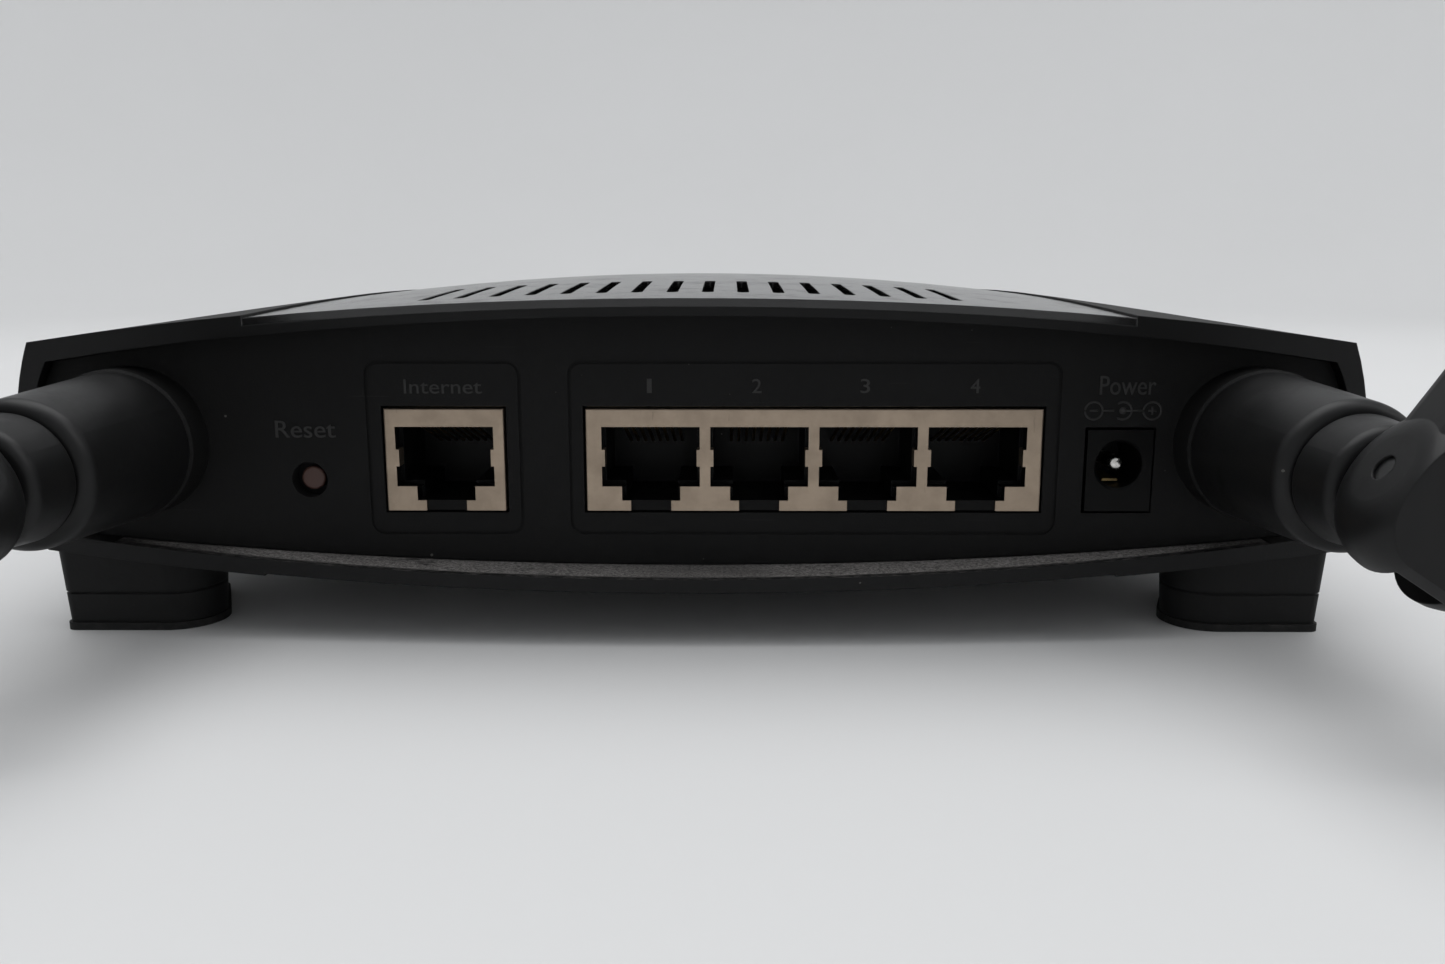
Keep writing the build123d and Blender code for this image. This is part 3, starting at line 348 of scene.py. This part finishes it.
def clear_guide(name):
    """Milky clear plastic that carries the lamps' light."""
    finish = Finish(name, Specular_IOR_Level=0.5, Transmission_Weight=0.35, IOR=1.49)
    haze = finish.noise(1.6 * MM, 3.0, 0.6)
    colour = finish.blend(haze, (0.72, 0.75, 0.76), (0.86, 0.88, 0.88))
    return finish.surface(colour, 0.16 + haze * 0.12, soften=0.1 * MM)


def sleeve_and_can(name):
    """An electrolytic capacitor: dark printed sleeve with a pale stripe, bare aluminium on top."""
    finish = Finish(name)
    _, y, up = finish.axes(finish.facing)
    top = up.over(0.6, 0.8)
    stripe = (y > 0.86) * (1 - top)
    brushed = finish.noise(0.2 * MM, 3.0, 0.6)
    sleeve = finish.blend(stripe, (0.012, 0.014, 0.02), (0.35, 0.36, 0.37))
    colour = finish.blend(top, sleeve, (0.72, 0.72, 0.73))
    return finish.surface(colour, 0.3 + brushed * 0.15, top * 0.95, [(brushed, 0.004 * MM)])


def finned_aluminium(name):
    """Extruded aluminium with draw lines along the fins, and painted shade darkening it towards the bottom of
    the fins.
    """
    finish = Finish(name, Metallic=1.0)
    _, _, z = finish.axes()
    low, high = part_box("heatsink")
    lines = finish.noise(0.16 * MM, 3.0, 0.7, (1, 25, 1))
    # Painted shade: the colour darkens from the top of the heatsink down into the valleys between the fins.
    valley_painted_shade = 1 - z.over(low.z, high.z)
    colour = finish.blend(valley_painted_shade * 0.6 + lines * 0.2, (0.6, 0.61, 0.62), (0.26, 0.265, 0.27))
    return finish.surface(colour, 0.34 + lines * 0.14, relief=[(lines, 0.006 * MM)], soften=0.1 * MM)


case_tone = (0.0075, 0.0075, 0.0077)
FINISHES = {
    "case_black": textured_plastic("case_plastic", case_tone),
    "foot_black": textured_plastic("foot_plastic", (0.0085, 0.0085, 0.0085), dust=0.3),
    "panel_black": panel_plastic("panel_plastic"),
    "insert_black": satin_plastic(
        "insert_plastic", (0.006, 0.006, 0.0062), rough=0.15, specular=0.7, relief=0.001 * MM),
    "foot_rubber": dull_rubber("foot_rubber_skin", (0.013, 0.013, 0.013)),
    "antenna_black": satin_plastic("antenna_plastic", (0.0065, 0.0065, 0.0067), rough=0.36, specular=0.24),
    "hinge_pin_black": satin_plastic("hinge_pin_plastic", (0.01, 0.01, 0.01), rough=0.3),
    "jack_nickel": plated_sheet("shield_nickel", (0.38, 0.305, 0.235)),
    "jack_black": satin_plastic(
        "jack_plastic", (0.002, 0.002, 0.002), rough=0.34, specular=0.12, soften=0.1 * MM),
    "contact_gold": bright_metal("contact_plating", (0.3, 0.21, 0.09), 0.28),
    "pin_nickel": bright_metal("pin_plating", (0.74, 0.73, 0.7), 0.16),
    "spring_brass": bright_metal("spring_brass", (0.6, 0.45, 0.2), 0.25),
    "reset_brown": satin_plastic("reset_plastic", (0.075, 0.036, 0.028), rough=0.42),
    "smoked_window": smoked_plastic("window_plastic"),
    "lamp_clear": clear_guide("lamp_plastic"),
    "board_green": circuit_board("board_lacquer"),
    "chip_black": moulded_package("chip_epoxy", (0.014, 0.014, 0.015)),
    "heatsink_metal": finned_aluminium("heatsink_aluminium"),
    "capacitor_can": sleeve_and_can("capacitor_sleeve"),
    "screw_steel": bright_metal("screw_plating", (0.5, 0.5, 0.51), 0.3),
    "lead_black": dull_rubber("lead_jacket", (0.011, 0.011, 0.011)),
}
SLOT_OF_NODE = {
    name: node.data.materials[0].name.split(".")[0] for name, node in nodes.items()
}
ledge_finish = ledge_plastic("lower_cover_plastic", case_tone)
for name, node in nodes.items():
    finish = ledge_finish if name == "bottom_cover" else FINISHES[SLOT_OF_NODE[name]]
    for index in range(len(node.data.materials)):
        node.data.materials[index] = finish


# ---------------------------------------------------------------- pieces made here
def grid_piece(name, points, closed=False):
    """A mesh whose vertices are a grid of points: rows along one parameter, columns along the other."""
    rows, columns = points.shape[:2]
    index = np.arange(rows * columns).reshape(rows, columns)
    across = np.concatenate([index, index[:, :1]], 1) if closed else index
    faces = np.stack([across[:-1, :-1], across[:-1, 1:], across[1:, 1:], across[1:, :-1]], -1).reshape(-1, 4)
    mesh = bpy.data.meshes.new(name)
    mesh.from_pydata(points.reshape(-1, 3).tolist(), [], faces.tolist())
    mesh.polygons.foreach_set("use_smooth", np.ones(len(mesh.polygons), bool))
    piece = bpy.data.objects.new(name, mesh)
    bpy.context.scene.collection.objects.link(piece)
    return piece


def join_pieces(name, pieces):
    """One closed mesh out of several pieces: doubles merged, normals outward."""
    joined = bmesh.new()
    for piece in pieces:
        joined.from_mesh(piece.data)
        bpy.data.objects.remove(piece)
    bmesh.ops.remove_doubles(joined, verts=joined.verts, dist=0.001 * MM)
    bmesh.ops.recalc_face_normals(joined, faces=joined.faces)
    mesh = bpy.data.meshes.new(name)
    joined.to_mesh(mesh)
    joined.free()
    whole = bpy.data.objects.new(name, mesh)
    bpy.context.scene.collection.objects.link(whole)
    return whole


def bead(path, side, widths):
    """A round bead along a path: at station s and turn t, path(s) + width(s) (side cos t + across sin t)."""
    along = np.gradient(path, axis=0)
    along /= np.linalg.norm(along, axis=1, keepdims=True)
    across = np.cross(along, side)
    turns = np.linspace(0, 2 * np.pi, 13)[:-1]
    ring = np.cos(turns)[None, :, None] * np.asarray(side) + np.sin(turns)[None, :, None] * across[:, None]
    return grid_piece("bead", path[:, None] + np.asarray(widths)[:, None, None] * ring, closed=True)


def panel_path(points):
    """Row-frame points on the rear panel's face from (x, z) pairs in millimetres."""
    flat = np.asarray(points, float) * MM
    return np.stack([flat[:, 0], np.full(len(flat), panel_y + 0.02 * MM), flat[:, 1]], -1)


def panel_arc(middle, radius, first, last, width=0.13):
    """A raised line round part of a circle, closed at both ends: (x + r cos a, z + r sin a)."""
    turn = np.radians(np.linspace(first, last, 41))
    path = panel_path(np.stack([middle[0] + radius * np.cos(turn), middle[1] + radius * np.sin(turn)], -1))
    widths = np.full(41, width * MM)
    widths[[0, -1]] = 0.0
    return bead(path, (0.0, 1.0, 0.0), widths)


def panel_bar(first, last, width=0.13):
    """A raised straight line from one point to another, closed at both ends."""
    share = np.array([0.0, 0.001, 0.999, 1.0])[:, None]
    path = panel_path(np.asarray(first) * (1 - share) + np.asarray(last) * share)
    return bead(path, (0.0, 1.0, 0.0), np.array([0.0, width, width, 0.0]) * MM)


def polarity_mark(left=-51.5, middle=-55.2, right=-58.95, height=29.15):
    """The centre-positive sign: a ringed minus, an open arc round a dot, and a ringed plus."""
    ring = 1.12
    reach = 0.52
    share = np.array([0.0, 0.001, 0.999, 1.0])[:, None]
    dot_start, dot_end = np.array([
        [middle * MM, panel_y - 0.1 * MM, height * MM], [middle * MM, panel_y + 0.14 * MM, height * MM]])
    dot = bead(dot_start * (1 - share) + dot_end * share, (1.0, 0.0, 0.0), np.array([0, 0.46, 0.46, 0]) * MM)
    return join_pieces("polarity_mark", [
        panel_arc((left, height), ring, 0, 360),
        panel_arc((right, height), ring, 0, 360),
        panel_arc((middle, height), ring, 50, 310),
        panel_bar((left - reach, height), (left + reach, height)),
        panel_bar((right - reach, height), (right + reach, height)),
        panel_bar((right, height - reach), (right, height + reach)),
        panel_bar((left - ring, height), (middle + ring, height)),
        panel_bar((middle, height), (right + ring, height)),
        dot,
    ])


def raised_words(name, words, sunk=0.08, raised=0.15):
    """Raised text on the panel. Each word is (text, left x, right x, low z, high z), in millimetres.

    The letters stand `raised` out of the panel's face and start `sunk` behind it.
    """
    pieces = []
    for text, left, right, low, high in words:
        curve = bpy.data.curves.new(text, "FONT")
        curve.body = text
        curve.extrude = 0.1
        curve.resolution_u = 4
        holder = bpy.data.objects.new(text, curve)
        bpy.context.scene.collection.objects.link(holder)
        mesh = bpy.data.meshes.new_from_object(holder)
        bpy.data.objects.remove(holder)
        flat = np.empty(3 * len(mesh.vertices))
        mesh.vertices.foreach_get("co", flat)
        flat = flat.reshape(-1, 3)
        share = (flat - flat.min(0)) / np.ptp(flat, 0)
        placed = np.stack([
            left + (right - left) * share[:, 0],
            (sunk + raised) * share[:, 2] - sunk,
            low + (high - low) * share[:, 1],
        ], -1)
        placed = placed * MM + np.array([0.0, panel_y, 0.0])
        mesh.vertices.foreach_set("co", placed.ravel())
        mesh.update()
        piece = bpy.data.objects.new(text, mesh)
        bpy.context.scene.collection.objects.link(piece)
        pieces.append(piece)
    return join_pieces(name, pieces)


def lettering_plastic(name):
    """The letters' worn tops: the panel's black, polished a little paler by handling."""
    finish = Finish(name, Specular_IOR_Level=0.35)
    wear = finish.noise(0.7 * MM, 4.0, 0.7)
    pits = finish.noise(0.2 * MM, 3.0, 0.6)
    colour = finish.blend(wear, (0.014, 0.014, 0.0138), (0.034, 0.033, 0.032))
    return finish.surface(colour, 0.42 + pits * 0.2, relief=[(pits, 0.02 * MM)])


letters = lettering_plastic("lettering_plastic")
panel_words = raised_words("panel_words", [
    ("Reset", 53.3, 45.6, 25.6, 27.8),
    ("Internet", 36.5, 26.6, 31.3, 33.1),
    ("1", 5.5, 4.9, 31.4, 33.2),
    ("2", -7.9, -9.1, 31.4, 33.2),
    ("3", -21.7, -22.9, 31.4, 33.2),
    ("4", -35.7, -36.9, 31.4, 33.2),
    ("Power", -52.1, -59.2, 31.2, 33.6),
])
for piece in (panel_words, polarity_mark()):
    piece.data.materials.append(letters)
    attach(piece, "case")


# ---------------------------------------------------------------- stage, light and camera
def sweep_stage(inner=0.95, bend=0.55, height=1.5):
    """A round floor that turns up into a wall: out along the floor, a quarter circle, then straight up.

    A point at turn t and station s lies at (r(s) cos t, r(s) sin t, h(s)).
    """
    turns = np.linspace(0, 2 * np.pi, 97)[:-1]
    quarter = np.linspace(0, np.pi / 2, 25)[1:]
    floor = np.linspace(0.0001, inner, 12)
    reach = np.concatenate([floor, inner + bend * np.sin(quarter), [inner + bend]])
    rise = np.concatenate([0 * floor, bend * (1 - np.cos(quarter)), [bend + height]]) + floor_z
    points = np.stack([
        np.outer(reach, np.cos(turns)),
        np.outer(reach, np.sin(turns)),
        np.outer(rise, np.ones(len(turns))),
    ], -1)
    return grid_piece("studio_sweep", points, closed=True)


def stage_finish():
    """Plain pale matt paint with a barely visible unevenness."""
    finish = Finish("studio_paint", Specular_IOR_Level=0.25)
    tone = finish.noise(0.3, 2.0, 0.5)
    colour = finish.blend(tone, (0.66, 0.66, 0.66), (0.69, 0.69, 0.692))
    return finish.surface(colour, 0.55 + tone * 0.06)


studio = sweep_stage()
studio.data.materials.append(stage_finish())


def soft_lamp(name, place, aim, size, power):
    """A square soft light at a place, turned towards the aim."""
    light = bpy.data.lights.new(name, "AREA")
    light.shape = "RECTANGLE"
    light.size, light.size_y = size
    light.energy = power
    lamp = bpy.data.objects.new(name, light)
    lamp.location = place
    lamp.rotation_mode = "QUATERNION"
    lamp.rotation_quaternion = (Vector(aim) - Vector(place)).to_track_quat("-Z", "Y")
    bpy.context.scene.collection.objects.link(lamp)


soft_lamp("ceiling_light", (0.1, -0.25, 1.35), (0, 0.0, 0), (1.5, 1.2), 13.5)
soft_lamp("side_light", (-0.8, 0.35, 0.9), (0, 0.05, 0.02), (0.7, 0.7), 2.5)
world = bpy.data.worlds.new("studio_air")
world.use_nodes = True
world.node_tree.nodes["Background"].inputs["Color"].default_value = (0.92, 0.96, 1.0, 1.0)
world.node_tree.nodes["Background"].inputs["Strength"].default_value = 0.62
bpy.context.scene.world = world
bpy.context.scene.view_settings.view_transform = "Standard"

camera_data = bpy.data.cameras.new("bench_camera")
camera_data.sensor_width = 36.0
camera_data.lens = 29.05
camera_data.clip_start = 0.005
camera = bpy.data.objects.new("bench_camera", camera_data)
pitch = math.radians(10.8)
turn = math.radians(0.3)
gaze = Vector((math.sin(turn) * math.cos(pitch), -math.cos(turn) * math.cos(pitch), -math.sin(pitch)))
camera.location = (-4.9 * MM, panel_y + 148.1 * MM, 48.1 * MM)
camera.rotation_mode = "QUATERNION"
camera.rotation_quaternion = gaze.to_track_quat("-Z", "Y")
bpy.context.scene.collection.objects.link(camera)
bpy.context.scene.camera = camera
